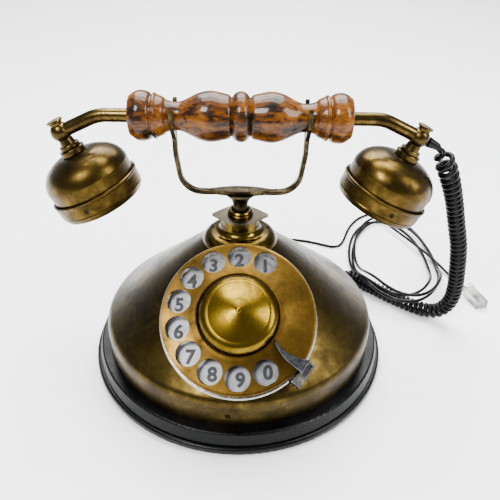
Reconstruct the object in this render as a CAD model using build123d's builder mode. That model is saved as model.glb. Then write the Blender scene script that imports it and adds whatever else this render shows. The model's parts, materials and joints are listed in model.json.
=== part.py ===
"""Rotary desk telephone: brass cone body on a black base, dial, cradle and turned-wood handset.

Millimetres, +Z up, front is -Y, origin at the centre of the underside.
"""

from build123d import *
from math import cos, pi, radians, sin, tan
import os

os.makedirs("parts", exist_ok=True)

# ---- driving dimensions ----
BASE_R = 98.3  # widest radius of the black base
PAD_T = 1.5  # felt pad under the base
LEDGE_Z = 14.7  # top of the base, where the brass shell stands
SHELL_R = 88.4  # brass shell, outer radius of its wall
SHELL_T = 1.2
CORNER_Z = 32.5  # height where the wall turns into the cone
CORNER_FILLET = 7.0
CONE_ANGLE = 38.3  # slope of the cone
CROWN_R = 20.0  # flat top of the shell
CROWN_Z = CORNER_Z + (SHELL_R - CROWN_R) * tan(radians(CONE_ANGLE))

COLLAR_R = 23.2  # skirt of the flared collar
NECK_R = 11.7
NECK_TOP = 100.0
HOOK_PLATE_T = 1.4
ROD_R = 2.6  # cradle rod inside the body
STEM_R = 4.4  # cradle stem where it enters the neck ring
STEM_Z = 103.2

DIAL_Y, DIAL_Z = -59.8, 70.8  # centre of the finger wheel's face
DIAL_TILT = 54.0  # elevation of the dial's axis above the horizon
WHEEL_R = 43.0
WHEEL_T = 1.6
HOLE_PITCH_R = 34.0
HOLE_R = 6.8
FIRST_HOLE = 64.3  # angle of digit 1, counterclockwise from +X
HOLE_STEP = 25.7
STOP_ANGLE = -36.1  # bearing of the finger stop's foot
DOME_R = 21.8
DOME_H = 13.6
DIAL_CUP_R = 42.6  # cup between the cone and the dial's rim

HANDLE_Z = 161.9  # axis of the wooden handle
HANDLE_HALF = 60.5
ARM_R = 3.8  # bent brass arm tubes
BALL_X, BALL_Z, BALL_R = 100.5, 152.0, 5.7
BELL_TILT = 23.5  # lean of each bell towards the middle
BELL_FACE = 47.0  # ball centre to the face of the cap
CAP_R = 26.3

COIL_R = 5.7  # outer radius of the curly cord
WIRE_R = 1.7  # its plain ends
LINE_R = 1.2  # line cord

# ---- reference planes ----
DIAL_AXIS = Vector(0, -cos(radians(DIAL_TILT)), sin(radians(DIAL_TILT)))
DIAL_CENTRE = Vector(0, DIAL_Y, DIAL_Z)
DIAL_UP = DIAL_AXIS.cross(Vector(1, 0, 0))
dial_plane = Plane(origin=DIAL_CENTRE, x_dir=(1, 0, 0), z_dir=DIAL_AXIS)
dial_section = Plane(origin=DIAL_CENTRE, x_dir=(1, 0, 0), z_dir=Vector(1, 0, 0).cross(DIAL_AXIS))
dial_line = Axis(DIAL_CENTRE, DIAL_AXIS)


def dial_plane_at(spot, turn=0.0):
    """The dial's plane moved to a spot given in that plane and turned about its own axis."""
    x, y = spot
    across = Vector(cos(radians(turn)), 0, 0) + DIAL_UP * sin(radians(turn))
    return Plane(origin=DIAL_CENTRE + Vector(1, 0, 0) * x + DIAL_UP * y, x_dir=across, z_dir=DIAL_AXIS)


def bell_frame(side):
    """Section plane of the bell on one side: X is outward radius, Y runs from the ball to the face."""
    lean = radians(BELL_TILT)
    axis = Vector(-side * sin(lean), 0, -cos(lean))
    across = Vector(side * cos(lean), 0, -sin(lean))
    centre = Vector(side * BALL_X, 0, BALL_Z)
    return Plane(origin=centre, x_dir=across, z_dir=across.cross(axis)), Axis(centre, axis)


def save(piece, name):
    """Labels a finished piece and writes it."""
    piece.part.label = name
    export_step(piece.part, f"parts/{name}.step")


def turned(outline, plane=Plane.XZ, axis=Axis.Z):
    """A piece turned from a closed outline of (radius, height) points."""
    with BuildPart() as piece:
        with BuildSketch(plane):
            with BuildLine():
                Polyline(*outline, close=True)
            make_face()
        revolve(axis=axis)
    return piece


# ---- base ----
def make_base():
    with BuildPart() as base_ring:
        with BuildSketch(Plane.XZ) as section:
            with BuildLine():
                Polyline((76, 3.3), (83, 3.3), (83, PAD_T), (BASE_R, PAD_T), (BASE_R, 6.4), (95.2, 6.4),
                         (95.2, 7.4), (96.0, 7.4), (94.2, LEDGE_Z), (87.1, LEDGE_Z), (87.1, 26),
                         (83, 26), (83, 9), (76, 9), close=True)
            make_face()
            rim = section.vertices().sort_by(Axis.X)[-2:]
            fillet(rim, 1.5)
            shoulder = [v for v in section.vertices() if abs(v.Y - LEDGE_Z) < 0.1 and v.X > 90]
            fillet(shoulder, 1.3)
        revolve(axis=Axis.Z)
        for angle, bore in ((CURLY_ANGLE, WIRE_R + 1.5), (LINE_ANGLE, LINE_R + 1.5)):
            outward = Vector(cos(radians(angle)), sin(radians(angle)), 0)
            with BuildSketch(Plane(origin=outward * 70 + Vector(0, 0, CORD_Z), z_dir=outward)):
                Circle(bore)
            extrude(amount=40, mode=Mode.SUBTRACT)
        for angle in SHELL_SCREW_ANGLES:
            outward = Vector(cos(radians(angle)), sin(radians(angle)), 0)
            with BuildSketch(Plane(origin=outward * 80 + Vector(0, 0, SHELL_SCREW_Z), z_dir=outward)):
                Circle(1.0)
            extrude(amount=10, mode=Mode.SUBTRACT)
        with BuildSketch(Plane.XY):
            with PolarLocations(79.5, 4, 45):
                Circle(1.0)
        extrude(amount=12, mode=Mode.SUBTRACT)
    save(base_ring, "base_ring")

    save(turned([(0, 0), (96.0, 0), (96.0, PAD_T), (0, PAD_T)]), "base_pad")

    with BuildPart() as bottom_plate:
        with BuildSketch(Plane.XY.offset(2.1)):
            Circle(82.7)
        extrude(amount=1.2)
        with PolarLocations(79.5, 4, 45):
            Hole(1.4)
    save(bottom_plate, "bottom_plate")

    with BuildPart() as bottom_screws:
        with BuildSketch(Plane.XY.offset(PAD_T)):
            with PolarLocations(79.5, 4, 45):
                Circle(2.4)
        extrude(amount=0.6)
        with BuildSketch(Plane.XY.offset(PAD_T)):
            with PolarLocations(79.5, 4, 45):
                Circle(1.0)
        extrude(amount=8)
    save(bottom_screws, "bottom_screws")


SHELL_SCREW_ANGLES = (-93.4, -3.4, 86.6, 176.6)
SHELL_SCREW_Z = 22.5
CORD_Z = 8.0
CURLY_ANGLE = 70.0
LINE_ANGLE = 82.0


# ---- brass body shell ----
def shell_outline(inset, crown_z):
    """The wall, corner and cone of the shell, moved inwards by inset, up to the flat crown."""
    rise = inset / cos(radians(CONE_ANGLE)) - inset * tan(radians(CONE_ANGLE))
    corner = (SHELL_R - inset, CORNER_Z - rise)
    crown = (SHELL_R - inset - (crown_z - corner[1]) / tan(radians(CONE_ANGLE)), crown_z)
    return corner, crown


def make_shell():
    corner, crown = shell_outline(0, CROWN_Z)
    in_corner, in_crown = shell_outline(SHELL_T, CROWN_Z - SHELL_T)
    with BuildPart() as body_shell:
        with BuildSketch(Plane.XZ):
            with BuildLine():
                FilletPolyline((SHELL_R, LEDGE_Z), corner, crown, radius=CORNER_FILLET)
                Polyline(crown, (3.5, CROWN_Z), (3.5, CROWN_Z - SHELL_T), in_crown)
                FilletPolyline(in_crown, in_corner, (SHELL_R - SHELL_T, LEDGE_Z),
                               radius=CORNER_FILLET - SHELL_T)
                Line((SHELL_R - SHELL_T, LEDGE_Z), (SHELL_R, LEDGE_Z))
            make_face()
        revolve(axis=Axis.Z)
        with BuildSketch(dial_plane.offset(-40)):
            Circle(38.6)
        extrude(amount=50, mode=Mode.SUBTRACT)
        for angle in SHELL_SCREW_ANGLES:
            outward = Vector(cos(radians(angle)), sin(radians(angle)), 0)
            with BuildSketch(Plane(origin=outward * 80 + Vector(0, 0, SHELL_SCREW_Z), z_dir=outward)):
                Circle(1.7)
            extrude(amount=10, mode=Mode.SUBTRACT)
    save(body_shell, "body_shell")


# ---- collar, hook plate and neck ring ----
def make_neck():
    skirt_z = CROWN_Z - (COLLAR_R - CROWN_R) * tan(radians(CONE_ANGLE))
    drop = COLLAR_R - CROWN_R
    with BuildPart() as collar:
        with BuildSketch(Plane.XZ):
            with BuildLine():
                Line((9.6, CROWN_Z), (CROWN_R, CROWN_Z))
                Line((CROWN_R, CROWN_Z), (COLLAR_R, skirt_z))
                Line((COLLAR_R, skirt_z), (COLLAR_R + 0.3, skirt_z + 0.9))
                ThreePointArc((COLLAR_R + 0.3, skirt_z + 0.9), (20.9, CROWN_Z + 2.2),
                              (16.4, CROWN_Z + 4.2))
                ThreePointArc((16.4, CROWN_Z + 4.2), (13.0, CROWN_Z + 5.6), (NECK_R, CROWN_Z + 8.2))
                Line((NECK_R, CROWN_Z + 8.2), (NECK_R, NECK_TOP))
                Polyline((NECK_R, NECK_TOP), (9.6, NECK_TOP), (9.6, CROWN_Z))
            make_face()
        revolve(axis=Axis.Z)
        with BuildSketch(Plane.XY.offset(CROWN_Z - drop)):
            with Locations(*COLLAR_SCREWS):
                Circle(1.5)
        extrude(amount=8, mode=Mode.SUBTRACT)
        with BuildSketch(dial_plane.offset(-24)):
            Circle(DIAL_CUP_R + 0.2)
        extrude(amount=30, mode=Mode.SUBTRACT)
        with BuildSketch(dial_plane.offset(-9.8)):
            Circle(DIAL_CUP_R + 2.1)
        extrude(amount=16, mode=Mode.SUBTRACT)
    save(collar, "collar")

    with BuildPart() as hook_plate:
        with BuildSketch(Plane.XY.offset(NECK_TOP)):
            with BuildLine():
                for way in (-1, 1):
                    Spline((-17.2, way * 0.9), (-12.4, way * 5.4), (0, way * 12.2), (12.4, way * 5.4),
                           (17.2, way * 0.9), tangents=((1, way * 0.6), (1, -way * 0.6)))
                Line((-17.2, -0.9), (-17.2, 0.9))
                Line((17.2, -0.9), (17.2, 0.9))
            make_face()
            Circle(ROD_R + 1.0, mode=Mode.SUBTRACT)
        extrude(amount=HOOK_PLATE_T)
    save(hook_plate, "hook_plate")

    seat = NECK_TOP + HOOK_PLATE_T
    bore = STEM_R + 0.5
    ring = [(bore, seat), (7.9, seat), (7.9, seat + 1.3), (7.4, seat + 1.8), (7.6, seat + 3.0),
            (6.9, seat + 3.8), (bore + 0.6, seat + 3.8), (bore, seat + 3.0)]
    save(turned(ring), "neck_ring")


COLLAR_SCREWS = ((-17.2, 4.0), (17.2, 4.0))


def make_body_screws():
    """Four screws through the shell's wall into the base, and two through the collar's skirt."""
    with BuildPart() as body_screws:
        for angle in SHELL_SCREW_ANGLES:
            outward = Vector(cos(radians(angle)), sin(radians(angle)), 0)
            with BuildSketch(Plane(origin=outward * 84.5 + Vector(0, 0, SHELL_SCREW_Z), z_dir=outward)):
                Circle(0.95)
            extrude(amount=3.2)
            head = Plane(origin=outward * 87.15 + Vector(0, 0, SHELL_SCREW_Z), z_dir=outward)
            with BuildSketch(head):
                Circle(1.6)
            extrude(amount=0.85)
            with BuildSketch(head.offset(0.4)):
                Rectangle(4, 0.4)
            extrude(amount=1, mode=Mode.SUBTRACT)
        with BuildSketch(Plane.XY.offset(CROWN_Z)):
            with Locations(*COLLAR_SCREWS):
                Circle(1.45)
        extrude(amount=4.6)
        with BuildSketch(Plane.XY.offset(CROWN_Z + 4.1)):
            with Locations(*COLLAR_SCREWS):
                Rectangle(4, 0.5)
        extrude(amount=1, mode=Mode.SUBTRACT)
    save(body_screws, "body_screws")


# ---- cradle ----
CRADLE_Z = 117.3  # middle of the cradle's bottom bar
FORK_X = 37.2
SADDLE_Z = HANDLE_Z - 7.7 - 1.2


def make_cradle():
    with BuildPart() as cradle:
        with BuildSketch(Plane.XZ):
            with BuildLine():
                Polyline((0, STEM_Z), (STEM_R, STEM_Z), (STEM_R, 106.2))
                ThreePointArc((STEM_R, 106.2), (5.5, 111.6), (9.0, 115.6))
                Polyline((9.0, 115.6), (9.0, 116.0), (0, 116.0), (0, STEM_Z))
            make_face()
        revolve(axis=Axis.Z)
        for side in (-1, 1):
            with BuildLine() as spine:
                FilletPolyline((0, 0, CRADLE_Z), (side * 18, 0, CRADLE_Z - 0.8),
                               (side * 34.0, 0, CRADLE_Z - 0.3), (side * FORK_X, 0, 141),
                               (side * FORK_X, 0, SADDLE_Z - 0.4), radius=(30, 13, 25))
            with BuildSketch(Plane(origin=(0, 0, CRADLE_Z), x_dir=(0, 1, 0), z_dir=(side, 0, 0))):
                RectangleRounded(5.0, 2.9, 1.2)
            sweep(path=spine.wires()[0])
        with BuildSketch(Plane.XY.offset(CRADLE_Z - 1.9)):
            with BuildLine():
                Spline((-22, 0), (-12, -2.7), (0, -4.3), (12, -2.7), (22, 0),
                       tangents=((1, -0.15), (1, 0.15)))
                Spline((22, 0), (12, 2.7), (0, 4.3), (-12, 2.7), (-22, 0),
                       tangents=((-1, 0.15), (-1, -0.15)))
            make_face()
        extrude(amount=3.0)
        for side in (-1, 1):
            fork = Plane(origin=(side * FORK_X, 0, 0), x_dir=(0, side, 0), z_dir=(side, 0, 0))
            with BuildSketch(fork.offset(-1.2)):
                with BuildLine():
                    Polyline((-2.5, SADDLE_Z - 3.4), (-10.6, HANDLE_Z - 3.2), (-11.4, HANDLE_Z + 6.2),
                             (-10.2, HANDLE_Z + 7.6), (-9.0, HANDLE_Z + 6.2), (-8.2, HANDLE_Z))
                    ThreePointArc((-8.2, HANDLE_Z), (0, HANDLE_Z - 8.2), (8.2, HANDLE_Z))
                    Polyline((8.2, HANDLE_Z), (9.0, HANDLE_Z + 6.2), (10.2, HANDLE_Z + 7.6),
                             (11.4, HANDLE_Z + 6.2), (10.6, HANDLE_Z - 3.2), (2.5, SADDLE_Z - 3.4),
                             (-2.5, SADDLE_Z - 3.4))
                make_face()
            extrude(amount=2.4)
    save(cradle, "cradle")

    rod = [(0, 63.4), (1.6, 63.4), (ROD_R, 65.0), (ROD_R, STEM_Z), (0, STEM_Z)]
    save(turned(rod), "cradle_rod")
    clip_z = 94.0
    clip = [(ROD_R, clip_z), (6.2, clip_z), (6.2, clip_z + 1.2), (ROD_R, clip_z + 1.2)]
    save(turned(clip), "rod_clip")

    coils = 4
    wire = 0.4
    height = clip_z - CROWN_Z - 2 * wire
    with BuildPart() as rod_spring:
        with BuildLine() as coil:
            Helix(pitch=height / coils, height=height, radius=4.6, center=(0, 0, CROWN_Z + wire))
        with BuildSketch(Plane(origin=coil.line @ 0, z_dir=coil.line % 0)):
            Circle(wire)
        sweep(path=coil.line)
    save(rod_spring, "rod_spring")


# ---- hook switch ----
def make_hook_switch():
    with BuildPart() as switch_post:
        with BuildSketch(Plane.XY.offset(3.3)):
            with Locations((0, 10)):
                Rectangle(12, 2)
        extrude(amount=59.0)
        with BuildSketch(Plane.XY.offset(3.3)):
            with Locations((0, 13)):
                Rectangle(12, 8)
        extrude(amount=1.5)
    save(switch_post, "switch_post")
    with BuildPart() as hook_contacts:
        with BuildSketch(Plane.XY.offset(53)):
            with Locations((0, 6)):
                Rectangle(9, 6)
        extrude(amount=9)
        for level in (54.6, 57.8, 61.0):
            with BuildSketch(Plane.XY.offset(level)):
                with Locations((0, 0)):
                    Rectangle(5, 12)
            extrude(amount=0.4)
    save(hook_contacts, "hook_contacts")


# ---- dial ----
def dial_turned(outline):
    return turned(outline, dial_section, dial_line)


def make_dial_case():
    rim_z = -6.5
    rim = [(40.1, rim_z - 3), (43.6, rim_z - 3), (44.3, rim_z - 2.2), (44.3, rim_z - 0.7),
           (43.6, rim_z), (40.9, rim_z), (40.1, rim_z - 0.8)]
    save(dial_turned(rim), "dial_rim")

    corner, crown = shell_outline(0, CROWN_Z)
    with BuildPart() as body_form:
        with BuildSketch(Plane.XZ):
            with BuildLine():
                FilletPolyline((SHELL_R, 0), corner, crown, radius=CORNER_FILLET)
                Polyline(crown, (0, CROWN_Z), (0, 0), (SHELL_R, 0))
            make_face()
        revolve(axis=Axis.Z)
    with BuildPart() as dial_cup:
        with BuildSketch(dial_plane.offset(-36)):
            Circle(DIAL_CUP_R)
            Circle(40.8, mode=Mode.SUBTRACT)
        extrude(amount=26.5)
        add(body_form.part, mode=Mode.SUBTRACT)
    save(dial_cup, "dial_cup")

    with BuildPart() as number_plate:
        with BuildSketch(dial_plane.offset(-7)):
            Circle(39.9)
            Circle(4, mode=Mode.SUBTRACT)
        extrude(amount=0.8)
    save(number_plate, "number_plate")

    frame = [(2.6, -12), (38.2, -12), (38.2, -7), (36.4, -7), (36.4, -10.4), (2.6, -10.4)]
    with BuildPart() as dial_frame:
        add(dial_turned(frame).part)
        with BuildSketch(dial_plane.offset(-13)):
            with Locations(PINION_AT, GOVERNOR_AT):
                Circle(1.55)
        extrude(amount=5, mode=Mode.SUBTRACT)
    save(dial_frame, "dial_frame")


def make_finger_wheel():
    with BuildPart() as finger_wheel:
        with BuildSketch(dial_section):
            with BuildLine():
                Polyline((22.7, 0.9), (22.7, 2.6), (23.5, 3.0), (25.4, 2.6))
                ThreePointArc((25.4, 2.6), (33, 0.9), (41.6, 0))
                Polyline((41.6, 0), (42.6, -0.2), (WHEEL_R, -0.8), (42.6, -1.5), (41.6, -WHEEL_T))
                ThreePointArc((41.6, -WHEEL_T), (33, -0.7), (25.4, 0.9))
                Line((25.4, 0.9), (22.7, 0.9))
            make_face()
        revolve(axis=dial_line)
        with BuildSketch(dial_plane.offset(-5)):
            with PolarLocations(HOLE_PITCH_R, 10, FIRST_HOLE, HOLE_STEP * 9, endpoint=True):
                Circle(HOLE_R)
        extrude(amount=12, mode=Mode.SUBTRACT)
    save(finger_wheel, "finger_wheel")

    with BuildPart() as hub_plate:
        with BuildSketch(dial_section):
            with BuildLine():
                Polyline((0, -3.4), (25.2, -3.4), (25.2, 0.9), (24.0, 0.9), (24.0, -2.2), (0, -2.2),
                         (0, -3.4))
            make_face()
        revolve(axis=dial_line)
    save(hub_plate, "hub_plate")

    with BuildPart() as hub_dome:
        with BuildSketch(dial_section):
            with BuildLine():
                Polyline((0, -2.2), (DOME_R, -2.2), (DOME_R, 4.2))
                ThreePointArc((DOME_R, 4.2), (20.0, 6.7), (16.6, 8.2))
                ThreePointArc((16.6, 8.2), (9.3, 10.8), (1.8, 12.7))
                Polyline((1.8, 12.7), (1.2, 13.3), (0.4, 13.55), (0, DOME_H))
                Line((0, DOME_H), (0, -2.2))
            make_face()
        revolve(axis=dial_line)
    save(hub_dome, "hub_dome")


def stop_spot(out, along):
    """A spot in the dial's plane, square to the finger stop's foot."""
    turn = radians(STOP_ANGLE)
    return Location(Vector(out * cos(turn) - along * sin(turn), out * sin(turn) + along * cos(turn)),
                    (0, 0, STOP_ANGLE))


def make_finger_stop():
    with BuildPart() as finger_stop:
        with BuildSketch(dial_plane.offset(3.6)):
            with BuildLine():
                Spline((19.4, -13.4), (24.7, -19.9), (30.2, -23.0), (38.4, -24.4),
                       tangents=((0.5, -0.85), (1, 0)))
                Line((38.4, -24.4), (33.4, -31.4))
                Spline((33.4, -31.4), (25.7, -25.1), (18.9, -14.4), tangents=((-0.75, 0.66), (-0.35, 0.95)))
                Line((18.9, -14.4), (19.4, -13.4))
            make_face()
        extrude(amount=1.7)
        chamfer(finger_stop.faces().sort_by(dial_line)[-1].edges(), 0.35)
        with BuildSketch(dial_plane.offset(-7.2)):
            with Locations(stop_spot(45.4, -2.2)):
                Rectangle(1.4, 7.2)
        extrude(amount=12.0)
    save(finger_stop, "finger_stop")

    with BuildPart() as stop_bracket:
        with BuildSketch(dial_plane.offset(-8.4)):
            with Locations(stop_spot(46.2, -4.5)):
                Rectangle(5.8, 14.6)
            Circle(44.45, mode=Mode.SUBTRACT)
        extrude(amount=6.9)
        with BuildSketch(dial_plane.offset(-7.2)):
            with Locations(stop_spot(44.8, -4.5)):
                Rectangle(6.6, 12.6)
        extrude(amount=6, mode=Mode.SUBTRACT)
    save(stop_bracket, "stop_bracket")


# ---- dial train: wheel, pulse pinion, governor ----
def gear_sketch(teeth, module):
    """Adds a gear outline to the open sketch: slim straight teeth with play for the mesh."""
    pitch_r = teeth * module / 2
    half = 0.19 * pi * module
    Circle(pitch_r - 1.15 * module)
    with PolarLocations(pitch_r, teeth):
        Polygon((-1.4 * module, -1.5 * half), (-1.4 * module, 1.5 * half), (0.9 * module, 0.5 * half),
                (0.9 * module, -0.5 * half), align=None)


MAIN_TEETH, PINION_TEETH, MODULE = 60, 15, 0.8
FAST_TEETH, GOVERNOR_TEETH, FINE_MODULE = 30, 9, 0.5
DIAL_SHAFT_R = 2.5
PINION_BEARING = 200.0
GOVERNOR_BEARING = 300.0
PINION_REACH = (MAIN_TEETH + PINION_TEETH) * MODULE / 2
GOVERNOR_REACH = (FAST_TEETH + GOVERNOR_TEETH) * FINE_MODULE / 2
PINION_AT = (PINION_REACH * cos(radians(PINION_BEARING)), PINION_REACH * sin(radians(PINION_BEARING)))
GOVERNOR_AT = (PINION_AT[0] + GOVERNOR_REACH * cos(radians(GOVERNOR_BEARING)),
               PINION_AT[1] + GOVERNOR_REACH * sin(radians(GOVERNOR_BEARING)))


def mesh_turn(bearing, teeth_driver, teeth_driven, driver_turn=0.0):
    """Rest angle of a driven gear whose gap faces a driver's tooth along the bearing."""
    lead = (bearing - driver_turn) % (360 / teeth_driver)
    return bearing + 180 + 180 / teeth_driven + lead * teeth_driver / teeth_driven


def make_train():
    pinion_turn = mesh_turn(PINION_BEARING, MAIN_TEETH, PINION_TEETH)
    governor_turn = mesh_turn(GOVERNOR_BEARING, FAST_TEETH, GOVERNOR_TEETH, pinion_turn)
    with BuildPart() as main_gear:
        with BuildSketch(dial_plane.offset(-16)):
            gear_sketch(MAIN_TEETH, MODULE)
        extrude(amount=2)
        with BuildSketch(dial_plane.offset(-28)):
            Circle(DIAL_SHAFT_R)
        extrude(amount=28 - 3.4)
    save(main_gear, "main_gear_and_shaft")

    pinion_line = dial_plane_at(PINION_AT, pinion_turn)
    with BuildPart() as pulse_pinion:
        with BuildSketch(pinion_line.offset(-16.5)):
            gear_sketch(PINION_TEETH, MODULE)
        extrude(amount=3)
        with BuildSketch(pinion_line.offset(-19.5)):
            gear_sketch(FAST_TEETH, FINE_MODULE)
        extrude(amount=1.5)
        with BuildSketch(pinion_line.offset(-28)):
            Circle(1.5)
        extrude(amount=17.5)
    save(pulse_pinion, "pulse_pinion")

    governor_line = dial_plane_at(GOVERNOR_AT, governor_turn)
    with BuildPart() as governor:
        with BuildSketch(governor_line.offset(-20)):
            gear_sketch(GOVERNOR_TEETH, FINE_MODULE)
        extrude(amount=2.5)
        with BuildSketch(governor_line.offset(-28)):
            Circle(1.5)
        extrude(amount=17.5)
        with BuildSketch(governor_line.offset(-24.4)):
            Rectangle(11, 3)
            with Locations((-4.5, 0), (4.5, 0)):
                Circle(2.2)
        extrude(amount=3)
    save(governor, "governor")

    with BuildPart() as back_bridge:
        with BuildSketch(dial_plane.offset(-28.4)):
            Rectangle(72, 16)
            with Locations(PINION_AT, GOVERNOR_AT):
                Circle(10.5)
            with Locations(PINION_AT, GOVERNOR_AT):
                Circle(1.55, mode=Mode.SUBTRACT)
            Circle(2.6, mode=Mode.SUBTRACT)
        extrude(amount=1.4)
        with BuildSketch(dial_plane.offset(-27)):
            with Locations((33, 0), (0, 33)):
                Circle(2.2)
        extrude(amount=15)
        with BuildSketch(dial_plane.offset(-28.4)):
            with Locations((0, 20)):
                Rectangle(8, 30)
        extrude(amount=1.4)
        with BuildSketch(governor_line.offset(-27)):
            Circle(8)
            Circle(7.2, mode=Mode.SUBTRACT)
        extrude(amount=5.6)
    save(back_bridge, "back_bridge")


# ---- ringer and electrics ----
GONG_X, GONG_Y, GONG_R = 23.6, 54.0, 18.0
BOARD_Y = -22.0
BOARD_HOLES = (56, 32)


def make_ringer():
    coil_x, coil_y = 10.0, 26.0
    with BuildPart() as ringer_yoke:
        with BuildSketch(Plane.XY.offset(3.3)):
            with Locations((0, coil_y)):
                Rectangle(34, 16)
        extrude(amount=2)
        with BuildSketch(Plane.XY.offset(5.3)):
            with Locations((-coil_x, coil_y), (coil_x, coil_y)):
                Circle(2.5)
        extrude(amount=23)
        with BuildSketch(Plane.XY.offset(5.3)):
            with Locations((0, coil_y)):
                Circle(1.2)
        extrude(amount=28)
    save(ringer_yoke, "ringer_yoke")
    with BuildPart() as ringer_coils:
        with BuildSketch(Plane.XY.offset(5.3)):
            with Locations((-coil_x, coil_y), (coil_x, coil_y)):
                Circle(7.4)
                Circle(2.5, mode=Mode.SUBTRACT)
        extrude(amount=21)
    save(ringer_coils, "ringer_coils")
    with BuildPart() as clapper:
        with BuildSketch(Plane.XY.offset(29)):
            with Locations((0, coil_y)):
                Rectangle(30, 5)
                Circle(1.25, mode=Mode.SUBTRACT)
        extrude(amount=2)
        with BuildSketch(Plane.XZ.offset(-coil_y - 2)):
            with Locations((0, 30)):
                Circle(0.8)
        extrude(amount=-(GONG_Y - coil_y - 2))
        with Locations((0, GONG_Y, 30)):
            Sphere(2.9)
    save(clapper, "clapper")
    with BuildPart() as gong:
        with BuildSketch(Plane.XZ):
            with BuildLine():
                Polyline((2.6, 36.0), (2.6, 37.2), (7, 37.2))
                ThreePointArc((7, 37.2), (14.6, 34.2), (GONG_R, 27))
                Line((GONG_R, 27), (GONG_R - 1.2, 27))
                ThreePointArc((GONG_R - 1.2, 27), (13.7, 33.3), (7, 36.0))
                Line((7, 36.0), (2.6, 36.0))
            make_face()
        revolve(axis=Axis.Z)
    with BuildPart() as gongs:
        with Locations((-GONG_X, GONG_Y, 0), (GONG_X, GONG_Y, 0)):
            add(gong.part)
    save(gongs, "gongs")


def make_electrics():
    with BuildPart() as circuit_board:
        with BuildSketch(Plane.XY.offset(8)):
            with Locations((0, BOARD_Y)):
                Rectangle(64, 40)
                with GridLocations(*BOARD_HOLES, 2, 2):
                    Circle(1.6, mode=Mode.SUBTRACT)
        extrude(amount=1.6)
    save(circuit_board, "circuit_board")
    gong_post = turned([(0, 3.3), (5, 3.3), (5, 5), (2.5, 5), (2.5, 36.6), (0, 36.6)])
    board_post = turned([(0, 3.3), (3, 3.3), (3, 8), (1.5, 8), (1.5, 10.6), (0, 10.6)])
    with BuildPart() as chassis_posts:
        with Locations((-GONG_X, GONG_Y, 0), (GONG_X, GONG_Y, 0)):
            add(gong_post.part)
        with Locations((0, BOARD_Y, 0)):
            with GridLocations(*BOARD_HOLES, 2, 2):
                add(board_post.part)
    save(chassis_posts, "chassis_posts")
    with BuildPart() as board_parts:
        with BuildSketch(Plane.XY.offset(9.6)):
            with Locations((-14, BOARD_Y)):
                Rectangle(22, 14)
            with Locations((12, BOARD_Y + 6)):
                Circle(5)
            with Locations((12, BOARD_Y - 7)):
                Rectangle(14, 7)
        extrude(amount=9)
    save(board_parts, "board_parts")


# ---- handset ----
def make_handle():
    half = HANDLE_HALF
    with BuildPart() as handle:
        with BuildSketch(Plane(origin=(0, 0, HANDLE_Z), x_dir=(1, 0, 0), z_dir=(0, -1, 0))):
            for side in (-1, 1):
                with BuildLine():
                    Line((0, 3), (0, 13.7))
                    ThreePointArc((0, 13.7), (side * 2.8, 12.89), (side * 4.7, 10.8))
                    Line((side * 4.7, 10.8), (side * 5.3, 10.4))
                    Spline((side * 5.3, 10.4), (side * 8.8, 12.4), (side * 16.1, 13.7),
                           (side * 23.4, 12.4), (side * 29.8, 9.3), (side * 36.2, 7.7),
                           (side * 41.2, 9.0), (side * 45.9, 11.6),
                           tangents=((side * 0.35, 1), (side * 1, 0.35)))
                    ThreePointArc((side * 45.9, 11.6), (side * 47.2, 12.4), (side * 48.3, 11.3))
                    Line((side * 48.3, 11.3), (side * 49.0, 11.3))
                    Spline((side * 49.0, 11.3), (side * 50.8, 13.0), (side * 53.8, 13.6),
                           (side * 57.4, 13.0), (side * 59.6, 11.5), (side * half, 11.0),
                           tangents=((side * 0.35, 1), (side * 1, -0.4)))
                    Polyline((side * half, 11.0), (side * half, 3), (0, 3))
                make_face()
        revolve(axis=Axis((0, 0, HANDLE_Z), (1, 0, 0)))
        for side in (-1, 1):
            with BuildSketch(Plane(origin=(side * (half - 12), 0, HANDLE_Z), z_dir=(side, 0, 0))):
                Circle(ARM_R)
            extrude(amount=12, mode=Mode.SUBTRACT)
    save(handle, "handle")

    with BuildPart() as handle_rod:
        with BuildSketch(Plane(origin=(half - 12, 0, HANDLE_Z), z_dir=(-1, 0, 0))):
            Circle(3)
            Circle(2.2, mode=Mode.SUBTRACT)
        extrude(amount=2 * (half - 12))
    save(handle_rod, "handle_rod")


NAMES = {-1: "ear", 1: "mouth"}


MOUTH_EXIT = Plane(origin=(BALL_X, 0, BALL_Z), x_dir=(0, 1, 0), z_dir=(0.906, 0, -0.423))


def make_mouth_grommet():
    section = Plane(origin=MOUTH_EXIT.origin, x_dir=(0, 1, 0), z_dir=Vector(0, 1, 0).cross(MOUTH_EXIT.z_dir))
    outline = [(0, 4.2), (1.9, 4.2), (1.9, 5.9), (3.0, 6.1), (2.9, 7.2), (2.1, 13.4), (0, 13.4)]
    save(turned(outline, section, Axis(MOUTH_EXIT.origin, MOUTH_EXIT.z_dir)), "mouth_grommet")


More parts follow.
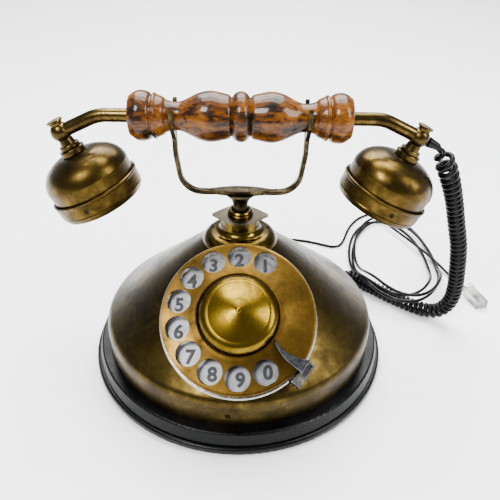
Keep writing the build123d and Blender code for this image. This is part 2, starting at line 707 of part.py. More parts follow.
def make_handset_end(side):
    name = NAMES[side]
    section, line = bell_frame(side)
    centre = Vector(side * BALL_X, 0, BALL_Z)
    inner = HANDLE_HALF - 12
    bend = Vector(side * 79.0, 0, HANDLE_Z)
    slope = (centre - bend).normalized()
    with BuildPart() as arm_form:
        with BuildLine() as path:
            FilletPolyline((side * inner, 0, HANDLE_Z), bend, centre - slope * 3.0, radius=24)
        with BuildSketch(Plane(origin=(side * inner, 0, HANDLE_Z), z_dir=(side, 0, 0))):
            Circle(ARM_R)
        sweep(path=path.wires()[0])
    with BuildPart() as arm:
        with BuildLine() as path:
            FilletPolyline((side * inner, 0, HANDLE_Z), bend, centre - slope * 3.0, radius=24)
        with BuildSketch(Plane(origin=(side * inner, 0, HANDLE_Z), z_dir=(side, 0, 0))):
            Circle(ARM_R)
            Circle(ARM_R - 1.0, mode=Mode.SUBTRACT)
        sweep(path=path.wires()[0])
    save(arm, f"{name}_arm")

    with BuildPart() as ball_joint:
        with BuildSketch(section):
            with BuildLine():
                Polyline((0, -7.1), (4.2, -7.1), (4.6, -6.8), (4.6, -6.0), (3.9, -5.6), (3.6, -4.4))
                ThreePointArc((3.6, -4.4), (5.02, -2.7), (BALL_R, 0))
                ThreePointArc((BALL_R, 0), (5.02, 2.7), (3.9, 4.2))
                Polyline((3.9, 4.2), (4.4, 7.6), (0, 7.6), (0, -7.1))
            make_face()
        revolve(axis=line)
        add(arm_form.part, mode=Mode.SUBTRACT)
        if side > 0:
            with BuildSketch(MOUTH_EXIT.offset(4.2)):
                Circle(1.9)
            extrude(amount=6, mode=Mode.SUBTRACT)
    save(ball_joint, f"{name}_ball")

    nut = [(0, 7.6), (5.6, 7.6), (5.9, 8.0), (5.9, 9.5), (5.4, 9.9), (7.0, 10.1), (7.3, 10.5),
           (7.3, 13.0), (6.8, 13.4), (0, 13.4)]
    save(turned(nut, section, line), f"{name}_nut")

    with BuildPart() as bell:
        with BuildSketch(section):
            with BuildLine():
                Polyline((3, 13.4), (7.6, 13.4))
                ThreePointArc((7.6, 13.4), (13.0, 14.2), (17.6, 16.4))
                ThreePointArc((17.6, 16.4), (22.9, 20.8), (25.4, 27.2))
                Line((25.4, 27.2), (24.9, 35.0))
                Polyline((24.9, 35.0), (24.9, 43.5), (23.9, 43.5), (23.9, 35.2), (24.4, 27.3))
                ThreePointArc((24.4, 27.3), (22.0, 21.4), (17.0, 17.3))
                ThreePointArc((17.0, 17.3), (12.8, 15.2), (7.6, 14.4))
                Polyline((7.6, 14.4), (3, 14.4), (3, 13.4))
            make_face()
        revolve(axis=line)
    save(bell, f"{name}_bell")

    with BuildPart() as cap:
        with BuildSketch(section):
            with BuildLine():
                Polyline((25.0, 35.2), (26.1, 34.4), (26.8, 34.8), (26.8, 35.8), (CAP_R, 36.4),
                         (CAP_R, 42.6), (25.8, 43.0), (26.0, 43.4), (25.4, 45.0))
                ThreePointArc((25.4, 45.0), (24.4, 46.5), (22.4, BELL_FACE))
                Polyline((22.4, BELL_FACE), (17, BELL_FACE), (14, BELL_FACE - 0.8), (0, BELL_FACE - 0.8),
                         (0, BELL_FACE - 1.8), (14, BELL_FACE - 1.8), (22.0, BELL_FACE - 1.2),
                         (24.0, 44.0), (25.0, 44.0), (25.0, 35.2))
            make_face()
        revolve(axis=line)
        face = Plane(origin=centre + line.direction * (BELL_FACE - 5), z_dir=line.direction)
        with BuildSketch(face):
            with PolarLocations(5, 6):
                Circle(1.1)
            with PolarLocations(10, 12):
                Circle(1.1)
            Circle(1.1)
        extrude(amount=10, mode=Mode.SUBTRACT)
        for hole in cap_screw_planes(side):
            with BuildSketch(hole.offset(-4)):
                Circle(1.5)
            extrude(amount=8, mode=Mode.SUBTRACT)
    save(cap, f"{name}_cap")

    capsule = [(0, 32), (19, 32), (19, 34), (22.6, 34), (22.6, 43.2), (0, 43.2)]
    save(turned(capsule, section, line), f"{name}_capsule")


def cap_screw_planes(side):
    """Planes standing on the cap's band where its two set screws go in, front and back."""
    _, line = bell_frame(side)
    at = Vector(side * BALL_X, 0, BALL_Z) + line.direction * 39.4
    return [Plane(origin=at + Vector(0, way * CAP_R, 0), z_dir=(0, way, 0)) for way in (-1, 1)]


def make_cap_screws():
    with BuildPart() as cap_screws:
        for side in (-1, 1):
            for hole in cap_screw_planes(side):
                with BuildSketch(hole.offset(-1.2)):
                    Circle(1.45)
                extrude(amount=0.9)
                with BuildSketch(hole.offset(-0.6)):
                    Rectangle(4, 0.4)
                extrude(amount=1, mode=Mode.SUBTRACT)
    save(cap_screws, "cap_screws")


# ---- cords ----
# From the handset's ball joint down to the surface and back to the base, beside the body.
UPPER_COIL = [(112.5, 0, 146.4), (119, 1, 137), (126, 3, 124), (133, 6, 108.5), (139.5, 9, 91)]
LOWER_COIL = [(139.61, 9.03, 90.7), (146.3, 11.0, 72.7), (150.5, 13, 54), (154.5, 15.5, 35), (155, 18, 19),
              (148, 21.5, 8.4), (136, 29, 6.2), (121, 41, 6.0), (105, 55.5, 5.9), (89.5, 71.5, 5.9)]
CURLY_TAIL = [(89.5, 71.5, 5.9), (81.5, 80.5, 4.6), (72, 91.5, 3.2), (62, 103, 3.0), (51, 112.0, 4.0),
              (42.4, 114.2, 6.6), (37.3, 106.6, 7.9), (35.2, 96.8, CORD_Z)]
LINE_TAIL = [(14.3, 102.0, CORD_Z), (15.9, 113, 7.4), (22, 124.5, 5.2), (33, 132, 3.0), (48, 134.5, 1.6),
             (63, 131.5, 1.8), (77, 124.5, 4.0), (87, 117, 7.4), (95.4, 112, 10.4)]
PLUG_LEAD = [(174.6, 98, 11.4), (176.4, 91.0, 6.4), (178.4, 83, 2.6), (181.6, 74, 1.6),
             (184.6, 65, 2.0), (186.0, 56.6, 3.3)]
LOOPS_AT = (135, 109)
LOOPS_Z = 7.8  # underside of the loops at their middle
LOOPS_SLOPE = 4.94  # the loops lean on the curly cord with their near end


def corner_radii(points):
    """The largest fillet that each corner's two runs allow."""
    radii = []
    for a, b, c in zip(points, points[1:], points[2:]):
        before, after = Vector(*b) - Vector(*a), Vector(*c) - Vector(*b)
        half_turn = radians(before.get_angle(after)) / 2
        radii.append(0.45 * min(before.length, after.length) / tan(half_turn))
    return radii


def make_tube(name, radius, *routes):
    """A cord's plain tube, along one route or several."""
    with BuildPart() as tube:
        for points in routes:
            radii = corner_radii(points)
            with BuildLine() as path:
                FilletPolyline(*points, radius=radii)
            start = Vector(*points[0])
            with BuildSketch(Plane(origin=start, z_dir=Vector(*points[1]) - start)):
                Circle(radius)
            sweep(path=path.wires()[0])
            print(name, "radii", [round(r) for r in radii], "length", round(path.wires()[0].length, 1))
    print(name, "least z", round(tube.part.bounding_box().min.Z, 2), "volume", round(tube.part.volume),
          "section", round(pi * radius ** 2, 2))
    save(tube, name)


def make_grommet(name, angle, cord_r):
    """A rubber grommet in the base's back wall, with a tapered nose that the cord meets."""
    outward = Vector(cos(radians(angle)), sin(radians(angle)), 0)
    root = outward * 83 + Vector(0, 0, CORD_Z)
    section = Plane(origin=root, x_dir=(0, 0, 1), z_dir=Vector(0, 0, 1).cross(outward))
    outline = [(0, 0), (cord_r + 1.5, 0), (cord_r + 1.5, 15.5), (cord_r + 2.4, 15.9),
               (cord_r + 2.4, 17.0), (cord_r + 0.8, 20), (0, 20)]
    save(turned(outline, section, Axis(root, outward)), name)


def make_line_loops():
    """The loose loops of the line cord, as one flat ring that leans on the curly cord."""
    lean = radians(LOOPS_SLOPE)
    ground = Plane(origin=(*LOOPS_AT, LOOPS_Z), x_dir=(1, 0, 0), z_dir=(0, sin(lean), cos(lean)))
    with BuildPart() as line_loops:
        with BuildSketch(ground):
            Ellipse(41, 87)
            with Locations((0, -16)):
                Ellipse(30, 63, mode=Mode.SUBTRACT)
        extrude(amount=5)
    save(line_loops, "line_loops")


PLUG_AT = Vector(186.0, 56.6, 0)
PLUG_WAY = Vector(0.2, -0.98, 0).normalized()


def make_plug():
    """A modular plug lying on the surface, latch upwards, with its mouth away from the cord."""
    across = PLUG_WAY.cross(Vector(0, 0, 1))
    ground = Plane(origin=PLUG_AT, x_dir=PLUG_WAY, z_dir=(0, 0, 1))
    side_view = Plane(origin=PLUG_AT, x_dir=PLUG_WAY, z_dir=across)
    with BuildPart() as line_plug:
        with BuildSketch(side_view.offset(-4.8)):
            with BuildLine():
                Polyline((0, 0.9), (9.0, 0), (21.4, 0), (21.4, 6.6), (7, 6.6), (5, 5.8), (0, 5.8),
                         (0, 0.9))
            make_face()
        extrude(amount=9.6)
        with BuildSketch(ground):
            with Locations((18.2, 0)):
                with GridLocations(1.3, 1.3, 1, 4):
                    Rectangle(5.2, 0.6)
        extrude(amount=4, mode=Mode.SUBTRACT)
    save(line_plug, "line_plug")
    with BuildPart() as plug_latch:
        with BuildSketch(side_view.offset(-1.6)):
            with BuildLine():
                Polyline((21.4, 6.7), (21.4, 7.7), (19.4, 7.9), (12.0, 8.9), (1.5, 10.9), (1.5, 10.0),
                         (12.0, 8.0), (18.6, 6.7), (21.4, 6.7))
            make_face()
        extrude(amount=3.2)
    save(plug_latch, "plug_latch")


def make_cords():
    make_tube("handset_cord_upper", COIL_R, UPPER_COIL)
    make_tube("handset_cord_lower", COIL_R, LOWER_COIL)
    make_tube("handset_cord_tail", WIRE_R, CURLY_TAIL)
    make_tube("line_cord", LINE_R, LINE_TAIL, PLUG_LEAD)
    make_grommet("curly_grommet", CURLY_ANGLE, WIRE_R)
    make_grommet("line_grommet", LINE_ANGLE, LINE_R)
    make_line_loops()
    make_plug()


if __name__ == "__main__":
    make_base()
    make_shell()
    make_neck()
    make_body_screws()
    make_cradle()
    make_hook_switch()
    make_dial_case()
    make_finger_wheel()
    make_finger_stop()
    make_train()
    make_ringer()
    make_electrics()
    make_handle()
    for end in (-1, 1):
        make_handset_end(end)
    make_mouth_grommet()
    make_cap_screws()
    make_cords()
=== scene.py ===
import json
from math import cos, pi, radians, sin, tau

import bmesh
import bpy
from mathutils import Matrix, Vector


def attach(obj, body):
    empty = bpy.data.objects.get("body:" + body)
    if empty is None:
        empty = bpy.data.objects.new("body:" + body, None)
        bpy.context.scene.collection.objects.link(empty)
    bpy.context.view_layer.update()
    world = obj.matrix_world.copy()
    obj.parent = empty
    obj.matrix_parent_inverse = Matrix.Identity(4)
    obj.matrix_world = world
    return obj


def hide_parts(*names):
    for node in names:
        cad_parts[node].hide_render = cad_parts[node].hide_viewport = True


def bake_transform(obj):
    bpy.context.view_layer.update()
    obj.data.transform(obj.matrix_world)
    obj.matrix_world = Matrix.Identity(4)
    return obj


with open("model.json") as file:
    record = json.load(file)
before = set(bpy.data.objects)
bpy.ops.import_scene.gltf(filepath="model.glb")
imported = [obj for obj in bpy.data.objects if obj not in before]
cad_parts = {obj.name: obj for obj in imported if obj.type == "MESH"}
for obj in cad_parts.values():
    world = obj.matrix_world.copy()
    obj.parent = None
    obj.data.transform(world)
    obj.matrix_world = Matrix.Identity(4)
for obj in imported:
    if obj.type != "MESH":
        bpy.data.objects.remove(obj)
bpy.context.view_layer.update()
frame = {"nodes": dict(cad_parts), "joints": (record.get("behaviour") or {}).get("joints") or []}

MM = 0.001
NODES = frame["nodes"]
DIAL = next(joint for joint in frame["joints"] if joint["name"] == "dial_turn")
DIAL_OUT = -Vector(DIAL["axis"]).normalized()
DIAL_CENTRE = DIAL["pos_m"]


# ---- camera, light and floor ----
CAMERA_SPOT = (0.0022, -0.271, 0.2491)
CAMERA_PITCH = 32.7  # degrees down
CAMERA_YAW = 0.9
CAMERA_ROLL = 1.2
FILM_MM = 36


def make_camera():
    """Looks down on the dial from the front, with the lens as long as the film is wide."""
    pitch, yaw, roll = radians(CAMERA_PITCH), radians(CAMERA_YAW), radians(CAMERA_ROLL)
    ahead = Vector((sin(yaw) * cos(pitch), cos(yaw) * cos(pitch), -sin(pitch)))
    level = Vector((cos(yaw), -sin(yaw), 0))
    up = level.cross(ahead)
    right = level * cos(roll) + up * sin(roll)
    top = up * cos(roll) - level * sin(roll)
    data = bpy.data.cameras.new("camera")
    data.sensor_width = FILM_MM
    data.lens = FILM_MM
    data.clip_start = 0.01
    camera = bpy.data.objects.new("camera", data)
    bpy.context.scene.collection.objects.link(camera)
    turn = Matrix((right, top, -ahead)).transposed().to_4x4()
    camera.matrix_world = Matrix.Translation(CAMERA_SPOT) @ turn
    bpy.context.scene.camera = camera


def softbox(name, spot, aim, width, height, power):
    """A rectangular light at a spot, turned towards another one."""
    data = bpy.data.lights.new(name, "AREA")
    data.shape = "RECTANGLE"
    data.size = width
    data.size_y = height
    data.energy = power
    light = bpy.data.objects.new(name, data)
    bpy.context.scene.collection.objects.link(light)
    light.location = spot
    light.rotation_euler = (Vector(aim) - Vector(spot)).to_track_quat("-Z", "Y").to_euler()


def make_studio():
    """Four softboxes over a white sweep, in a dim and slightly cool room."""
    softbox("key_box", (-0.5, -0.75, 1.1), (0, 0, 0.06), 0.45, 0.45, 26)
    softbox("fill_box", (0.9, -0.35, 0.7), (0, 0, 0.08), 0.4, 0.6, 13)
    softbox("top_box", (0.05, 0.35, 1.3), (0, 0, 0.02), 1.2, 0.7, 40)
    softbox("back_box", (0.0, 2.0, 2.2), (0, 1.5, 0), 2.6, 1.6, 190)
    world = bpy.data.worlds.new("studio")
    bpy.context.scene.world = world
    world.use_nodes = True
    room = world.node_tree.nodes["Background"].inputs
    room["Color"].default_value = (0.9, 0.93, 1.0, 1)
    room["Strength"].default_value = 0.4
    bm = bmesh.new()
    bmesh.ops.create_grid(bm, x_segments=1, y_segments=1, size=6)
    floor = mesh_piece("floor", bm)
    floor.data.materials.append(paper_floor())


# ---- helpers for meshes ----
def mesh_piece(name, bm):
    """An object in the scene from a bmesh."""
    mesh = bpy.data.meshes.new(name)
    bm.to_mesh(mesh)
    bm.free()
    piece = bpy.data.objects.new(name, mesh)
    bpy.context.scene.collection.objects.link(piece)
    return piece


def dial_frame():
    """The dial's own axes: right, up along the face, outwards, and the centre of the wheel's face."""
    right = Vector((1, 0, 0))
    turn = Matrix((right, DIAL_OUT.cross(right), DIAL_OUT)).transposed().to_4x4()
    return Matrix.Translation(DIAL_CENTRE) @ turn


# ---- materials ----
def linear(code):
    """An sRGB hex colour as linear light."""
    parts = [int(code[i:i + 2], 16) / 255 for i in (1, 3, 5)]
    return tuple(c / 12.92 if c <= 0.04045 else ((c + 0.055) / 1.055) ** 2.4 for c in parts) + (1.0,)


def add(tree, kind, links=None, **settings):
    """Adds a node, sets its properties or sockets, and links the sockets named in links."""
    made = tree.nodes.new("ShaderNode" + kind)
    for key, value in settings.items():
        if key in made.bl_rna.properties:
            setattr(made, key, value)
        else:
            made.inputs[key.replace("_", " ")].default_value = value
    for key, source in (links or {}).items():
        tree.links.new(source, made.inputs[key])
    return made


def start(name, **settings):
    """A new material with its Principled shader, and the object's own coordinates."""
    material = bpy.data.materials.new(name)
    material.use_nodes = True
    tree = material.node_tree
    shader = tree.nodes["Principled BSDF"]
    for key, value in settings.items():
        shader.inputs[key.replace("_", " ")].default_value = value
    place = add(tree, "TexCoord").outputs["Object"]
    return material, tree, shader, place


def ramp(tree, source, stops):
    """Turns a value into a colour through (place, hex colour) stops."""
    made = add(tree, "ValToRGB", {"Fac": source})
    band = made.color_ramp
    while len(band.elements) < len(stops):
        band.elements.new(0.5)
    for element, (place, code) in zip(band.elements, stops):
        element.position = place
        element.color = linear(code)
    return made.outputs["Color"]


def paper_floor():
    """White paper sweep: even and matt, with a trace of tooth."""
    material, tree, shader, place = start("white_paper_sweep", Roughness=0.8)
    grain = add(tree, "TexNoise", {"Vector": place}, Scale=40.0, Detail=2.0)
    tree.links.new(ramp(tree, grain.outputs["Fac"], [(0.3, "#fbfbfb"), (0.7, "#fefefe")]),
                   shader.inputs["Base Color"])
    return material


def aged_brass(name, dark, mid, light, rough=0.32, axis=(0, 0, 1), centre=(0, 0, 0), ring_mm=0.5,
               blotch_mm=18):
    """Spun brass under old lacquer: cloudy brown tarnish, and fine turning lines round the part's axis."""
    material, tree, shader, place = start(name, Metallic=1.0)
    turn = Vector(axis).normalized().rotation_difference(Vector((0, 0, 1))).to_euler()
    offset = -(turn.to_matrix() @ Vector(centre))
    own = add(tree, "Mapping", {"Vector": place}, vector_type="POINT", Location=offset, Rotation=turn)
    cloud = add(tree, "TexNoise", {"Vector": place}, Scale=1000 / blotch_mm, Detail=6.0, Roughness=0.62,
                Distortion=0.5)
    split = add(tree, "SeparateXYZ", {"Vector": own.outputs["Vector"]})
    flat = add(tree, "CombineXYZ", {"X": split.outputs["X"], "Y": split.outputs["Y"]})
    radius = add(tree, "VectorMath", {0: flat.outputs["Vector"]}, operation="LENGTH")
    lathe = add(tree, "CombineXYZ", {"X": radius.outputs["Value"], "Y": split.outputs["Z"]})
    lines = add(tree, "TexNoise", {"Vector": lathe.outputs["Vector"]}, Scale=1000 / ring_mm, Detail=3.0)
    fleck = add(tree, "TexNoise", {"Vector": place}, Scale=420.0, Detail=4.0, Roughness=0.7)
    spun = add(tree, "Mix", {"A": cloud.outputs["Fac"], "B": lines.outputs["Fac"]}, Factor=0.16)
    wear = add(tree, "Mix", {"A": spun.outputs["Result"], "B": fleck.outputs["Fac"]}, Factor=0.16)
    tree.links.new(ramp(tree, wear.outputs["Result"], [(0.36, dark), (0.5, mid), (0.64, light)]),
                   shader.inputs["Base Color"])
    gloss = add(tree, "MapRange", {"Value": wear.outputs["Result"]}, From_Min=0.35, From_Max=0.65,
                To_Min=rough + 0.1, To_Max=rough - 0.08)
    tree.links.new(gloss.outputs["Result"], shader.inputs["Roughness"])
    bump = add(tree, "Bump", {"Height": wear.outputs["Result"]}, Strength=0.12, Distance=0.0002)
    tree.links.new(bump.outputs["Normal"], shader.inputs["Normal"])
    return material


def plated_metal(name, dark, light, rough=0.25):
    """Plated or bare steel: nearly even, with a faint wear that breaks the highlight."""
    material, tree, shader, place = start(name, Metallic=1.0)
    scratch = add(tree, "TexNoise", {"Vector": place}, Scale=300.0, Detail=4.0, Roughness=0.6)
    tree.links.new(ramp(tree, scratch.outputs["Fac"], [(0.3, dark), (0.7, light)]),
                   shader.inputs["Base Color"])
    gloss = add(tree, "MapRange", {"Value": scratch.outputs["Fac"]}, From_Min=0.3, From_Max=0.7,
                To_Min=rough - 0.03, To_Max=rough + 0.06)
    tree.links.new(gloss.outputs["Result"], shader.inputs["Roughness"])
    return material


def varnished_wood():
    """Turned sheesham under gloss varnish: dark streaks along the grain, and a wet clear coat."""
    material, tree, shader, place = start("varnished_sheesham", Roughness=0.45, Coat_Weight=0.35,
                                          Coat_Roughness=0.05, Specular_IOR_Level=0.1)
    grain = add(tree, "Mapping", {"Vector": place}, Scale=(0.3, 1.0, 1.0), Location=(0.02, 0, 0))
    figure = add(tree, "TexNoise", {"Vector": grain.outputs["Vector"]}, Scale=210.0, Detail=7.0,
                 Roughness=0.6, Distortion=1.2)
    patch = add(tree, "TexNoise", {"Vector": place}, Scale=60.0, Detail=3.0, Distortion=0.6)
    pores = add(tree, "TexNoise", {"Vector": grain.outputs["Vector"]}, Scale=900.0, Detail=2.0)
    streaks = add(tree, "Mix", {"A": figure.outputs["Fac"], "B": patch.outputs["Fac"]}, Factor=0.45)
    tone = add(tree, "Mix", {"A": streaks.outputs["Result"], "B": pores.outputs["Fac"]}, Factor=0.18)
    tree.links.new(ramp(tree, tone.outputs["Result"],
                        [(0.4, "#080300"), (0.45, "#1f0e00"), (0.5, "#4c2700"), (0.62, "#7a4600")]),
                   shader.inputs["Base Color"])
    bump = add(tree, "Bump", {"Height": pores.outputs["Fac"]}, Strength=0.08, Distance=0.0002)
    tree.links.new(bump.outputs["Normal"], shader.inputs["Normal"])
    return material


def moulded(name, dark, light, rough=0.35, grain_mm=1.2, bump_by=0.1, **settings):
    """Moulded plastic or rubber: a faint cloud in the colour and a fine even texture in the gloss."""
    material, tree, shader, place = start(name, **settings)
    cloud = add(tree, "TexNoise", {"Vector": place}, Scale=1000 / grain_mm, Detail=3.0)
    broad = add(tree, "TexNoise", {"Vector": place}, Scale=45.0, Detail=3.0)
    both = add(tree, "Mix", {"A": broad.outputs["Fac"], "B": cloud.outputs["Fac"]}, Factor=0.4)
    tree.links.new(ramp(tree, both.outputs["Result"], [(0.38, dark), (0.62, light)]),
                   shader.inputs["Base Color"])
    gloss = add(tree, "MapRange", {"Value": both.outputs["Result"]}, From_Min=0.35, From_Max=0.65,
                To_Min=rough - 0.07, To_Max=rough + 0.1)
    tree.links.new(gloss.outputs["Result"], shader.inputs["Roughness"])
    bump = add(tree, "Bump", {"Height": cloud.outputs["Fac"]}, Strength=bump_by, Distance=0.0001)
    tree.links.new(bump.outputs["Normal"], shader.inputs["Normal"])
    return material


def dress(material, *names):
    """Puts one material on CAD nodes."""
    for name in names:
        slots = NODES[name].data.materials
        slots.clear()
        slots.append(material)


# ---- cords ----
CURLY_ROUTE = [(112.5, 0, 146.4), (119, 1, 137), (126, 3, 124), (133, 6, 108.5), (139.5, 9, 91),
               (146.3, 11, 72.7), (150.5, 13, 54), (154.5, 15.5, 35), (155, 18, 19),
               (148, 20.5, 8.4), (136, 28, 6.2), (121, 40.5, 6.0), (105, 55.5, 5.9), (89.5, 71.5, 5.9),
               (81.5, 80.5, 4.6), (72, 91.5, 3.2), (62, 103, 3.0), (51, 112.0, 4.0),
               (42.4, 114.2, 6.6), (37.3, 106.6, 7.9), (35.2, 96.8, 8.0)]
LINE_TAIL = [(14.3, 102.0, 8.0), (15.9, 113, 7.2), (22, 124.5, 4.6), (33, 132, 2.4), (48, 134.5, 1.4),
             (63, 131.5, 1.3), (77, 125.5, 1.3), (86, 121.5, 1.3)]
PLUG_LEAD = [(141, 170, 4.2), (151, 147, 4.6), (160.5, 123, 5.4), (169.5, 101, 5.6), (176.0, 86, 3.2),
             (180.6, 75, 1.6), (184.2, 65, 2.0), (186.0, 56.6, 3.3)]
WIRE_D = 3.4
LINE_D = 2.4
COIL_OUTER = 11.4
COIL_PITCH = 3.75
TURN_STEPS = 16  # points on one turn of the coil
BARE_START = 1.0  # plain wire before the coil starts
BARE_END = 78.0  # plain wire behind the body
COIL_RAMP = 9.0  # stretch over which the coil opens and closes
PLAIN_STEP = 1.5
LOOSE_BY = 0.16  # how much wider the first turns hang
LOOSE_FROM = 12.0
LOOSE_REACH = 30.0
STRETCH_BY = 0.9  # how much further apart the first turns are
STRETCH_REACH = 34.0


def smoothed(route, name):
    """Points read off the NURBS spline that has the route as its control points."""
    curve = bpy.data.curves.new(name, "CURVE")
    curve.dimensions = "3D"
    curve.resolution_u = 16
    spline = curve.splines.new("NURBS")
    spline.points.add(len(route) - 1)
    for point, place in zip(spline.points, route):
        point.co = (*[v * MM for v in place], 1)
    spline.order_u = 3
    spline.use_endpoint_u = True
    holder = bpy.data.objects.new(name, curve)
    bpy.context.scene.collection.objects.link(holder)
    bpy.context.view_layer.update()
    mesh = bpy.data.meshes.new_from_object(holder)
    points = [v.co.copy() for v in mesh.vertices]
    bpy.data.objects.remove(holder)
    return points


def ease(value):
    """0 to 1, slow at both ends."""
    value = min(1.0, max(0.0, value))
    return value * value * (3 - 2 * value)


def wound(points):
    """A helix that follows a line, with a plain stretch at each end of it."""
    reach = [0.0]
    for a, b in zip(points, points[1:]):
        reach.append(reach[-1] + (b - a).length)
    total = reach[-1]
    helix = []
    side = Vector((0, 1, 0))
    travelled, angle, k = 0.0, 0.0, 0
    coil_r = (COIL_OUTER - WIRE_D) / 2 * MM
    while travelled < total:
        while k < len(reach) - 2 and reach[k + 1] < travelled:
            k += 1
        share = (travelled - reach[k]) / (reach[k + 1] - reach[k])
        here = points[k].lerp(points[k + 1], share)
        along = (points[k + 1] - points[k]).normalized()
        side = (side - along * side.dot(along)).normalized()
        across = along.cross(side)
        coiled = travelled - BARE_START * MM
        left = total - BARE_END * MM - travelled
        swell = ease(coiled / (COIL_RAMP * MM)) * ease(left / (COIL_RAMP * MM))
        loose = 1 + LOOSE_BY * (1 - ease((coiled - LOOSE_FROM * MM) / (LOOSE_REACH * MM)))
        radius = coil_r * swell * loose
        helix.append(here + (side * cos(angle) + across * sin(angle)) * radius)
        pitch = COIL_PITCH * MM * (1 + STRETCH_BY * (1 - ease(coiled / (STRETCH_REACH * MM))))
        step = pitch / TURN_STEPS if swell > 0 else PLAIN_STEP * MM
        angle += tau / TURN_STEPS if swell > 0 else 0
        travelled += step
    helix[-1] = points[-1].copy()
    return helix


def length_of(points):
    """Length of a line through points."""
    return sum((b - a).length for a, b in zip(points, points[1:]))


def tube_along(points, name, thickness):
    """A round tube mesh that follows the points one by one."""
    curve = bpy.data.curves.new(name, "CURVE")
    curve.dimensions = "3D"
    curve.bevel_depth = thickness / 2
    curve.bevel_resolution = 2
    curve.use_fill_caps = True
    spline = curve.splines.new("POLY")
    spline.points.add(len(points) - 1)
    for point, place in zip(spline.points, points):
        point.co = (*place, 1)
    holder = bpy.data.objects.new(name + "_line", curve)
    bpy.context.scene.collection.objects.link(holder)
    bpy.context.view_layer.update()
    mesh = bpy.data.meshes.new_from_object(holder)
    bpy.data.objects.remove(holder)
    piece = bpy.data.objects.new(name, mesh)
    bpy.context.scene.collection.objects.link(piece)
    for face in mesh.polygons:
        face.use_smooth = True
    return piece


def make_curly_cord(vinyl):
    """The handset's curly cord: one wire, from the mouthpiece's ball joint to the back of the base."""
    line = smoothed(CURLY_ROUTE, "curly_line")
    turns = wound(line)
    cord = tube_along(turns, "curly_cord", WIRE_D * MM)
    cord.data.materials.append(vinyl)
    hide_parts("handset_cord_upper", "handset_cord_lower", "handset_cord_tail")
    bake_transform(cord)


# Each loose loop: centre x and y, half width and half depth.
LOOPS = [(131.5, 108.0, 40.5, 88.0), (135.5, 103.0, 39.0, 80.0), (132.5, 95.0, 33.0, 67.0),
         (138.0, 100.0, 36.5, 79.0)]
LOOP_STEPS = 14
FIRST_STEP = 4  # the tail joins the first loop at its left side
LAST_STEP = 50
LOOP_MIDDLE_Y = 108
LOOP_SHEAR = 0.1  # the near ends lie further left than the far ends
CURLY_REACH = 44  # nearer than this the loops lie on the curly cord
CURLY_SLOPE = 46  # behind that they come down to the surface over this far
CURLY_TOP = 10.836  # how far the curly cord lifts a loop
FLOOR_LIE = 0.55  # height of a strand's centre on the surface, in strand widths
STACK_BY = 1.02  # each turn's step up on the pile, in strand widths
TOP_LOOP = 2.2  # from this turn on the lead lies over the earlier loops
TOP_BY = 1.1
TOP_SLOPE = 3


def loop_points():
    """The loose loops, clockwise from the left side, each drifting into the next one's size."""
    points = []
    for step in range(FIRST_STEP, LAST_STEP + 1):
        turn = step / LOOP_STEPS
        k = min(int(turn), len(LOOPS) - 2)
        share = ease(turn - k)
        x, y, wide, deep = [a + (b - a) * share for a, b in zip(LOOPS[k], LOOPS[k + 1])]
        angle = -pi / 2 - tau * turn
        spot_y = y + deep * sin(angle)
        near = 1 - ease((spot_y - CURLY_REACH) / CURLY_SLOPE)
        height = LINE_D * (FLOOR_LIE + near * STACK_BY * turn) + near * CURLY_TOP
        if turn > TOP_LOOP:
            height += LINE_D * TOP_BY * ease((turn - TOP_LOOP) * TOP_SLOPE)
        across = wide * cos(angle) + (spot_y - LOOP_MIDDLE_Y) * LOOP_SHEAR
        points.append((x + across, spot_y, height))
    return points


def make_line_cord(vinyl):
    """The line lead: a tail round the base, the loose loops, and the strand to the plug."""
    route = LINE_TAIL + loop_points() + PLUG_LEAD
    curve = bpy.data.curves.new("line_lead", "CURVE")
    curve.dimensions = "3D"
    curve.resolution_u = 8
    curve.bevel_depth = LINE_D / 2 * MM
    curve.bevel_resolution = 2
    curve.use_fill_caps = True
    spline = curve.splines.new("NURBS")
    spline.points.add(len(route) - 1)
    for point, place in zip(spline.points, route):
        point.co = (*[v * MM for v in place], 1)
    spline.order_u = 3
    spline.use_endpoint_u = True
    cord = bpy.data.objects.new("line_lead", curve)
    bpy.context.scene.collection.objects.link(cord)
    curve.materials.append(vinyl)
    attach(cord, "root")
    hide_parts("line_cord", "line_loops")
    length_of(smoothed(route, "line_measure"))


# ---- dial details ----
DIGIT_R = 34.2  # pitch radius of the digits
FIRST_DIGIT = 64.0  # angle of digit 1
DIGIT_STEP = 26.05
DIGIT_SIZE = 10.5
STROKE_BY = 0.42  # how much the strokes are thickened
PRINT_TOP = -6.18  # just proud of the number plate, measured from the wheel's face


def make_digits(ink):
    """Printed digits on the number plate, one under each finger hole."""
    face = dial_frame()
    for k, digit in enumerate("1234567890"):
        text = bpy.data.curves.new("digit_" + digit, "FONT")
        text.body = digit
        text.align_x = "CENTER"
        text.align_y = "CENTER"
        text.size = DIGIT_SIZE * MM
        text.bevel_depth = STROKE_BY * MM
        text.bevel_resolution = 1
        holder = bpy.data.objects.new("holder", text)
        bpy.context.scene.collection.objects.link(holder)
        bpy.context.view_layer.update()
        mesh = bpy.data.meshes.new_from_object(holder)
        bpy.data.objects.remove(holder)
        angle = radians(FIRST_DIGIT + DIGIT_STEP * k)
        spot = Vector((DIGIT_R * cos(angle), DIGIT_R * sin(angle), PRINT_TOP)) * MM
        mesh.transform(face @ Matrix.Translation(spot))
        mesh.materials.clear()
        mesh.materials.append(ink)
        piece = bpy.data.objects.new("digit_" + digit, mesh)
        bpy.context.scene.collection.objects.link(piece)
        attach(piece, "root")


# ---- what each piece is made of ----
BELL_LEAN = 28
BELL_X = 0.1005
BELL_Z = 0.152


def bell_line(side):
    """The line that a bell's turning marks go round: its direction and a point on it."""
    lean = radians(BELL_LEAN)
    return (-side * sin(lean), 0, -cos(lean)), (side * BELL_X, 0, BELL_Z)


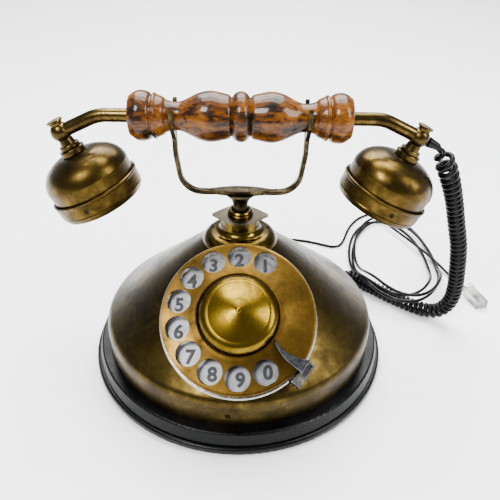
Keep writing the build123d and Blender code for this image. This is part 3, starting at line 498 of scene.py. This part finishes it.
def dress_body():
    """The brass cone, collar and cradle, on their black base."""
    shell = aged_brass("lacquered_body_brass", "#1d1709", "#3b2f14", "#594a22", 0.34)
    dress(shell, "body_shell")
    trim = aged_brass("lacquered_trim_brass", "#261e0a", "#463812", "#6b5822", 0.25)
    dress(trim, "collar", "neck_ring")
    plate = aged_brass("dull_plate_brass", "#26211a", "#474034", "#605848", 0.34)
    dress(plate, "hook_plate")
    bronze = aged_brass("dark_cast_bronze", "#15110b", "#2e2718", "#52472f", 0.34, blotch_mm=5)
    dress(bronze, "cradle", "cradle_rod")
    base = moulded("satin_black_base", "#020203", "#040506", 0.28, Specular_IOR_Level=0.12)
    dress(base, "base_ring")
    felt = moulded("black_felt", "#0c0c0d", "#1c1c1e", 0.95, 0.6, 0.5)
    dress(felt, "base_pad")
    screws = plated_metal("blackened_screws", "#14110c", "#2b251b", 0.4)
    dress(screws, "body_screws", "cap_screws")


def dial_brass(name, dark, mid, light, rough, ring_mm=0.5, blotch_mm=18):
    """Brass that was turned about the dial's own axis."""
    return aged_brass(name, dark, mid, light, rough, DIAL_OUT, DIAL_CENTRE, ring_mm, blotch_mm)


def dress_dial():
    """The dial, from the cup behind it to the finger stop in front."""
    # The cup's brass is darker than the shell's: its brass tone carries painted shade for the shadow below
    # the dial ring.
    dress(dial_brass("dial_cup_brass_painted_shade", "#1a1308", "#30240f", "#463517", 0.36), "dial_cup")
    wheel = dial_brass("wheel_satin_brass", "#2c200a", "#513c14", "#755922", 0.35, 0.4, 26)
    dress(wheel, "finger_wheel")
    dome = dial_brass("spun_dome_brass", "#352a06", "#57440d", "#79621b", 0.28, 0.5, 22)
    dress(dome, "hub_dome")
    dress(dial_brass("hub_brass", "#120c05", "#1f1609", "#2d220f", 0.4), "hub_plate")
    nickel = plated_metal("worn_nickel", "#77756f", "#a9a69d", 0.24)
    dress(nickel, "dial_rim", "stop_bracket")
    dress(plated_metal("finger_stop_steel", "#3a3a3c", "#56565a", 0.26), "finger_stop")
    dress(plated_metal("number_plate_aluminium", "#6f6f71", "#88888a", 0.36), "number_plate")


def dress_handset():
    """The wooden handle, and the brass bells and fittings at its two ends."""
    for side, name in ((-1, "ear"), (1, "mouth")):
        axis, centre = bell_line(side)
        bell = aged_brass(name + "_bell_brass", "#221a0a", "#433414", "#675225", 0.3, axis, centre,
                          0.4, 14)
        dress(bell, name + "_bell", name + "_cap")
        fitting = aged_brass(name + "_fitting_brass", "#20190c", "#3f3218", "#615028", 0.28, axis, centre,
                             0.4, 8)
        dress(fitting, name + "_ball", name + "_nut", name + "_arm")
    dress(varnished_wood(), "handle")


def dress_inside():
    """The chassis, the dial's gears, the ringer and the circuit board."""
    steel = plated_metal("zinc_plated_steel", "#73726c", "#b3b2ab", 0.34)
    dress(steel, "bottom_plate", "bottom_screws", "dial_frame", "back_bridge", "switch_post", "ringer_yoke",
          "chassis_posts", "handle_rod", "rod_spring", "rod_clip", "clapper")
    gears = aged_brass("machined_gear_brass", "#7d6126", "#b08c3e", "#caa95a", 0.28)
    dress(gears, "main_gear_and_shaft", "pulse_pinion", "governor", "gongs")
    phenolic = moulded("moulded_phenolic", "#0e0a08", "#1d1613", 0.35)
    dress(phenolic, "hook_contacts", "ear_capsule", "mouth_capsule", "board_parts", "ringer_coils")
    dress(moulded("board_laminate", "#0c3a1c", "#15532b", 0.4), "circuit_board")


def dress_cord_ends():
    """The clear plug and the black grommets; returns the vinyl that the cords share with them."""
    clear = moulded("clear_polycarbonate", "#e9e8e2", "#f6f5f0", 0.12, 2.0, 0.02,
                    Transmission_Weight=0.85, IOR=1.58)
    dress(clear, "line_plug", "plug_latch")
    vinyl = moulded("soft_black_vinyl", "#010101", "#020203", 0.27, 0.9, 0.06, Specular_IOR_Level=0.13)
    dress(vinyl, "curly_grommet", "line_grommet", "mouth_grommet")
    return vinyl


make_camera()
dress_body()
dress_dial()
dress_handset()
dress_inside()
vinyl_black = dress_cord_ends()
make_curly_cord(vinyl_black)
make_line_cord(vinyl_black)
make_digits(moulded("printing_ink", "#0b0b0c", "#161617", 0.5))
make_studio()
